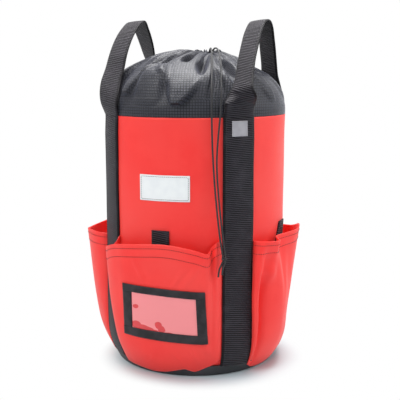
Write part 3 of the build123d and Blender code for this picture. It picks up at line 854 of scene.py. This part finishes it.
def loop_points(side, cols=15):
    """Middle face of a handle's webbing, and its cloth lengths."""
    stations = [(x, y, h, math.cos(math.radians(a)), math.sin(math.radians(a))) for h, x, y, a in LOOPS[side]]
    line = smooth(stations, 10)
    middle = line[:, :3] * MM + [0, 0, SEAM_Z]
    along = np.gradient(middle, axis=0)
    along[0], along[-1] = [0, 0, 1], [0, 0, -1]
    wide = np.pad(line[:, 3:], ((0, 0), (0, 1)))
    up = unit(np.cross(wide, unit(along)))
    across = np.linspace(-WEB_W / 2, WEB_W / 2, cols)
    run = run_along(middle)
    points = middle[:, None] + across[None, :, None] * wide[:, None]
    edge = (2 * across / WEB_W) ** 2
    outward = unit(middle * [1, 1, 0])
    sewn = 1 - ease(middle[:, 2], SEAM_Z, SEAM_Z + 0.022)
    points -= (1.95 * MM * sewn[:, None] * edge[None])[..., None] * outward[:, None]
    cup = 0.5 * MM * (1 - sewn[:, None]) * (1 - edge[None]) * np.sign(up[:, 2:3] + 0.01)
    points += cup[..., None] * up[:, None]
    lengths = np.stack(np.broadcast_arrays(across[None], run[:, None]), axis=-1)
    return points, lengths


def make_handles(material):
    """Loop handles, each one strip of webbing from its front strap over the top to its back one."""
    for side in LOOPS:
        points, lengths = loop_points(side)
        obj = cloth_mesh("webbing_loop_" + side, points, lengths, material, 2.1 * MM, body=None,
                         offset=0)
        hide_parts("handle_" + side, "handle_root_front_" + side, "handle_root_back_" + side)
        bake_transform(obj)


# ---- collar ----
MOUTH = (15.1 * MM, 5.2 * MM)        # how far the mouth sits from the bag's axis, in X and Y
MOUTH_Z = 430 * MM
COLLAR_CUT, COLLAR_FRONT = 109, 285  # turns where the sheet's edges meet, and of its middle thread
# The plain dome that the folds swing about: radius, height (mm) and share of the mouth's offset.
COLLAR = [
    (126.6, 348, 0), (125.8, 363, 0), (117.5, 382, 0), (104, 399, 0), (85, 412.5, 0.05),
    (63, 424, 0.25), (39, 429.5, 0.65), (19.5, 430, 1),
]


# Billows and hollows of the gathered cloth. Each is (height in mm, how round its top is, points),
# and each point is (share of the way up to the mouth, turn, half width in degrees, share of the height).
BILLOWS = [
    (11, 4, [(0.094, -82.5, 2.5, 0), (0.108, -82.5, 3, 0.95), (0.12, -82, 4, 1), (0.18, -80.5, 7.5, 0.92),
        (0.26, -79.5, 10.5, 0.78), (0.35, -80.5, 14, 0.56), (0.46, -84, 19, 0.36), (0.6, -86, 19, 0.16),
        (0.74, -84, 12, 0)]),
    (8.5, 2.6, [(0.185, -119.5, 1.5, 0), (0.2, -119, 3, 0.95), (0.25, -118.5, 4, 1), (0.36, -117, 5, 0.75),
        (0.48, -113, 6, 0.45), (0.64, -107, 5, 0)]),
    (9.5, 3, [(0.1, -102, 9, 0), (0.24, -102, 11, 0.5), (0.37, -102, 12, 1), (0.45, -103, 11, 0.8),
        (0.57, -104, 8, 0)]),
    (5, 1.6, [(0.1, -69, 3, 0), (0.22, -68.5, 5, 0.7), (0.38, -63, 5, 1), (0.59, -58.5, 5, 0.8),
        (0.8, -57, 5, 0)]),
    (5.5, 1.6, [(0.16, -45, 3, 0), (0.25, -47.5, 4, 0.8), (0.43, -51.5, 4.5, 1), (0.67, -52, 5, 0.8),
        (0.85, -53, 5, 0)]),
    (-10, 1.6, [(0.34, -44, 3, 0), (0.47, -42.5, 4, 0.8), (0.62, -41.5, 5, 1), (0.8, -43, 6, 0)]),
    (4.5, 2.4, [(0.2, -30, 5, 0), (0.36, -32, 9, 1), (0.55, -33, 9, 0.9), (0.75, -32, 7, 0)]),
    (4, 2.4, [(0.12, -15, 3, 0), (0.22, -17, 6, 1), (0.38, -20, 7, 0.9), (0.62, -18, 6, 0)]),
    (-14, 1.5, [(0.59, -83, 3, 0), (0.68, -83, 4.5, 1), (0.8, -82, 4, 0)]),
    (-12, 1.5, [(0.38, -67, 2, 0), (0.56, -65.5, 4.5, 1), (0.68, -63, 4, 0.8), (0.82, -62, 5, 0)]),
    (-8, 1.5, [(0.54, -104, 3, 0), (0.64, -104, 4.5, 1), (0.76, -101, 5, 0)]),
    (-4.5, 1.5, [(0.47, -117, 2, 0), (0.58, -115, 3.5, 1), (0.72, -112, 4, 0)]),
    (2.5, 2.6, [(0.1, 18, 4, 0), (0.2, 16, 9, 1), (0.36, 14, 13, 1), (0.55, 12, 14, 0.5), (0.72, 10, 10, 0)]),
    (6, 2, [(0.14, 52, 3, 0), (0.26, 50, 7, 1), (0.42, 46, 9, 0.9), (0.66, 40, 7, 0)]),
    (8.5, 2.8, [(0.08, 88, 4, 0), (0.16, 87, 9, 0.9), (0.3, 86, 14, 1), (0.5, 82, 16, 0.6),
        (0.72, 80, 11, 0)]),
    (5.5, 1.8, [(0.13, 121, 3, 0), (0.26, 119, 6, 1), (0.46, 114, 7, 0.9), (0.7, 108, 7, 0)]),
    (7.5, 2.6, [(0.1, 154, 4, 0), (0.19, 153, 9, 1), (0.34, 151, 13, 1), (0.54, 147, 13, 0.5),
        (0.72, 145, 9, 0)]),
    (6.5, 2.2, [(0.12, -169, 3, 0), (0.24, -168, 7, 1), (0.42, -166, 9, 0.9), (0.64, -164, 8, 0)]),
    (6, 2, [(0.13, -139, 3, 0), (0.24, -140, 6, 0.9), (0.42, -143, 8, 1), (0.66, -146, 7, 0)]),
    (-6, 1.6, [(0.4, -6, 2, 0), (0.56, -6, 4, 1), (0.8, -5, 6, 0)]),
    (-6, 1.6, [(0.36, 31, 2, 0), (0.54, 29, 4, 1), (0.8, 26, 6, 0)]),
    (-6, 1.6, [(0.4, 66, 2, 0), (0.56, 63, 4, 1), (0.8, 60, 6, 0)]),
    (-6.5, 1.6, [(0.36, 103, 2, 0), (0.54, 100, 4, 1), (0.8, 96, 6, 0)]),
    (-6, 1.6, [(0.38, 134, 2, 0), (0.56, 130, 4, 1), (0.8, 127, 6, 0)]),
    (-6.5, 1.6, [(0.38, 171, 2, 0), (0.55, 170, 4, 1), (0.8, 168, 6, 0)]),
    (-5.5, 1.6, [(0.4, -154, 2, 0), (0.56, -154, 4, 1), (0.8, -152, 6, 0)]),
]


def collar_folds(turn, t):
    """Height of the gathered cloth's folds over the plain dome, in millimetres."""
    total = np.zeros(turn.shape)
    for height, roundness, spine in BILLOWS:
        rows = smooth(spine, 8)
        middle, half, share = read_at(t, rows[:, 0], rows[:, 1:])
        away = np.abs((turn - middle + 180) % 360 - 180) / np.maximum(half, 0.5)
        total += height * np.clip(share, 0, 1) * np.exp(-((away / 0.85) ** (2 * roundness)) * 0.7)
    wander = 14 * np.sin(np.radians(turn * 2)) + 9 * np.sin(np.radians(turn * 5 + 40)) + 6 * np.sin(9 * t)
    pleats = np.abs(np.sin(np.radians(turn * 11 + wander)))
    uneven = 1.0 + 0.5 * np.sin(np.radians(turn * 3 + 70))
    total += ease(t, 0.52, 0.9) * uneven * (6.0 * pleats**0.7 - 3.1)
    total -= 4.0 * np.cos(np.radians(turn - 19)) * ease(t, 0.35, 0.7) * (1 - ease(t, 0.85, 1))
    fine = 0.9 * ring_swell(turn, t * 4, 21, 12) * ease(t, 0.05, 0.2)
    return total + fine


def collar_points(cols, rows):
    """Grid of points on the gathered cloth, and the length up it from the seam."""
    line = smooth(COLLAR, 16)
    run = run_along(line[:, :2])
    v = np.linspace(0, run[-1], rows)
    radius, height, share = read_at(v, run, line)
    slope_r, slope_z = np.gradient(radius, v), np.gradient(height, v)
    turn = np.linspace(COLLAR_CUT, COLLAR_CUT + 360, cols)
    columns = (a[:, None] for a in (share, radius, height, slope_r, slope_z, v))
    turn, share, radius, height, slope_r, slope_z, up = np.broadcast_arrays(turn[None], *columns)
    lift = collar_folds(turn, up / run[-1])
    r = (radius + lift * slope_z) * MM
    z = (height - lift * slope_r) * MM
    points = polar(r, turn, z)
    points[..., :2] += share[..., None] * MOUTH
    return points, up * MM


def make_collar(material):
    cols = 901
    points, up = collar_points(cols, 150)
    around = run_along(points)
    front = round((COLLAR_FRONT - COLLAR_CUT) / 360 * (cols - 1))
    lengths = np.stack([around - around[:, front:front + 1], up], axis=-1)
    obj = cloth_mesh("collar_cloth", points, lengths, material, 0.9 * MM, closed=True)
    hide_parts("collar")


def make_casing(material):
    """Hem rolled round the drawcord, drawn up tight into ruffles."""
    turn, around = np.meshgrid(np.linspace(0, 360, 361), np.linspace(0, 360, 25))
    a, b = np.radians(turn), np.radians(around)
    ruffle = np.sin(13 * a + 0.7 * np.sin(3 * a))
    ring = (15.8 + 2.2 * ruffle + 0.8 * np.sin(5 * a + 1)) * MM
    tube = (3.7 + 0.7 * np.sin(26 * a + 2)) * MM
    lift = (1.6 * np.sin(13 * a + 1.5) + 0.9 * np.sin(4 * a)) * MM
    radius = ring + tube * np.cos(b)
    points = polar(radius, turn, MOUTH_Z + lift + tube * 1.15 * np.sin(b)) + [*MOUTH, 0]
    lengths = np.stack([a * 0.03, b * tube], axis=-1)
    obj = cloth_mesh("mouth_hem", points, lengths, material, closed=True)
    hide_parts("mouth_casing")


# ---- small pieces sewn on ----
def patch_mesh(name, turn, z, size, lift, thick, material, slot, slant=0):
    """Flat piece lying on the wall, with its lengths measured from its middle. slant leans it sideways."""
    wide, high = size
    across, up = np.meshgrid(np.linspace(-wide / 2, wide / 2, 33), np.linspace(-high / 2, high / 2, 17))
    at = turn + np.degrees((across + slant * up) / BODY_R)
    points = polar(wall(at, z + up) + lift, at, z + up)
    obj = cloth_mesh(name, points, np.stack([across, up], axis=-1), material, thick)
    return obj, points


# Turn and slant of each tab. Then for each kind of piece the turn, unless it has its own, the height
# of the middle, the size, and how far the outside stands off the wall.
TABS = {"front": (-92.2, 0), "right": (-3, 0.5), "back": (90, 0), "left": (180, -0.2)}
TAB = (185.5 * MM, (24 * MM, 31 * MM), 2.5 * MM)
PATCH = (PANELS["front"], 257 * MM, (70 * MM, 34 * MM), 1.0 * MM)
LABEL = (STRAPS["front_right"], 334 * MM, (22 * MM, 20 * MM), 3.4 * MM)


def make_trim(mats):
    """Webbing tabs over the pockets, the bare patch with its stitching, and the bare label."""
    for name, (turn, slant) in TABS.items():
        obj, _ = patch_mesh("tab_webbing_" + name, turn, *TAB, WEB_T, mats["webbing"], "webbing", slant)
        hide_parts("tab_" + name)
    obj, points = patch_mesh("front_patch", *PATCH, 0.8 * MM, mats["patch"], "patch")
    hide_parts("blank_patch")
    inner = points[1:-1, 1:-1]
    rim = np.concatenate([inner[0], inner[1:, -1], inner[-1, -2::-1], inner[-2::-1, 0]])
    stitches("front_patch_seam", rim, rim * [1, 1, 0], mats["dark_thread"], 1.9 * MM, 0.7 * MM, 0.28 * MM)
    obj, _ = patch_mesh("strap_patch", *LABEL, 0.6 * MM, mats["label"], "label")
    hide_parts("strap_label")


WINDOW_SIZE = (117 * MM, 72 * MM)
WINDOW_AT = (1.1, 91 * MM)       # turn from the pocket's middle, and height, of the window's middle
WINDOW_LEAN = -4.5 / 117         # rise a length to the right
WINDOW_SKEW = -1.2 * MM          # how far its corners are off square
TAPES = {"left": 14.0 * MM, "right": 12.5 * MM, "top": 9.8 * MM, "bottom": 12.0 * MM}     # their widths


def row_at(grid, heights, height):
    """Values of a grid along the line where the pocket is at one height."""
    low = np.clip((heights < height).sum(axis=0) - 1, 0, len(heights) - 2)
    col = np.arange(heights.shape[1])
    part = (height - heights[low, col]) / (heights[low + 1, col] - heights[low, col])
    return grid[low, col] * (1 - part)[:, None] + grid[low + 1, col] * part[:, None]


def on_pocket(pocket, across, up, lift):
    """Points on the front pocket at lengths from the window's middle, lift outside its cloth."""
    found = np.empty(across.shape + (3,))
    skewed = across + WINDOW_SKEW * (1 + across * up / (WINDOW_SIZE[0] * WINDOW_SIZE[1] / 4))
    for index in np.ndindex(across.shape):
        height = WINDOW_AT[1] + up[index] + WINDOW_LEAN * across[index]
        line, face = (row_at(grid, pocket[0][..., 2], height) for grid in pocket)
        run = run_along(line)
        turn = np.degrees(np.arctan2(line[:, 0], -line[:, 1]))
        start = np.interp(WINDOW_AT[0], turn, run)
        found[index] = read_at(start + skewed[index], run, line + lift * face)
    return found


def window_piece(name, pocket, box, steps, lift, thick, material, along_x=False):
    """Flat piece lying on the front pocket, between two ends across and two up."""
    (x1, x2), (y1, y2) = box
    across, up = np.meshgrid(np.linspace(x1, x2, steps[0]), np.linspace(y1, y2, steps[1]))
    points = on_pocket(pocket, across, up, lift)
    own = (up - (y1 + y2) / 2, across) if along_x else (across - (x1 + x2) / 2, up)
    return cloth_mesh(name, points, np.stack(own, axis=-1), material, thick)


def make_window(pocket, mats):
    """Four tapes and the clear pane that they hold."""
    wide, high = WINDOW_SIZE[0] / 2, WINDOW_SIZE[1] / 2
    ends, sides = (1 * MM - high, high - 1 * MM), (-wide, wide)
    boxes = {
        "left": ((-wide, TAPES["left"] - wide), ends),
        "right": ((wide - TAPES["right"], wide), ends),
        "top": (sides, (high - TAPES["top"], high)),
        "bottom": (sides, (-high, TAPES["bottom"] - high)),
    }
    for name, box in boxes.items():
        level = name in ("top", "bottom")
        steps, lift = ((61, 7), 1.9 * MM) if level else ((7, 41), 1.5 * MM)
        obj = window_piece("window_binding_" + name, pocket, box, steps, lift, 1.0 * MM, mats["tape"],
                           level)
        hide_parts("window_tape_" + name)
    inner = 4 * MM
    box = ((inner - wide, wide - inner), (inner - high, high - inner))
    obj = window_piece("window_vinyl", pocket, box, (49, 33), 0.7 * MM, 0.4 * MM, mats["vinyl"])
    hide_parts("window_pane")


def dress_hidden(cord):
    """Own materials for the two CAD pieces that stay: the board in the foot and the cord in the hem."""
    for name, material in (("base_board", board_plastic()), ("drawcord_ring", cord)):
        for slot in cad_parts[name].material_slots:
            slot.material = material


# ---- the whole bag ----
def main():
    make_camera()
    cord = cord_cloth()
    make_cords(cord)
    make_light()
    make_floor()
    mats = {
        "red": red_cloth(),
        "webbing": webbing(),
        "ripstop": ripstop(),
        "base": base_cloth(),
        "tape": tape_cloth(),
        "vinyl": clear_vinyl(),
        "patch": pale_cloth("patch_satin", (0.92, 0.92, 0.91), (0.88, 0.88, 0.88)),
        "label": pale_cloth("label_satin", (0.4, 0.38, 0.41), (0.34, 0.32, 0.35)),
        "dark_thread": thread("dark_thread", (0.05, 0.006, 0.006)),
        "black_thread": thread("black_thread", (0.03, 0.03, 0.032)),
    }
    make_wall(mats["red"])
    make_base(mats["base"])
    make_straps(mats["webbing"], mats["black_thread"])
    make_collar(mats["ripstop"])
    make_casing(mats["ripstop"])
    make_handles(mats["webbing"])
    pockets = {name: make_pocket(name, mats["red"], mats["dark_thread"]) for name in PANELS}
    make_window(pockets["front"], mats)
    make_trim(mats)
    dress_hidden(cord)


main()
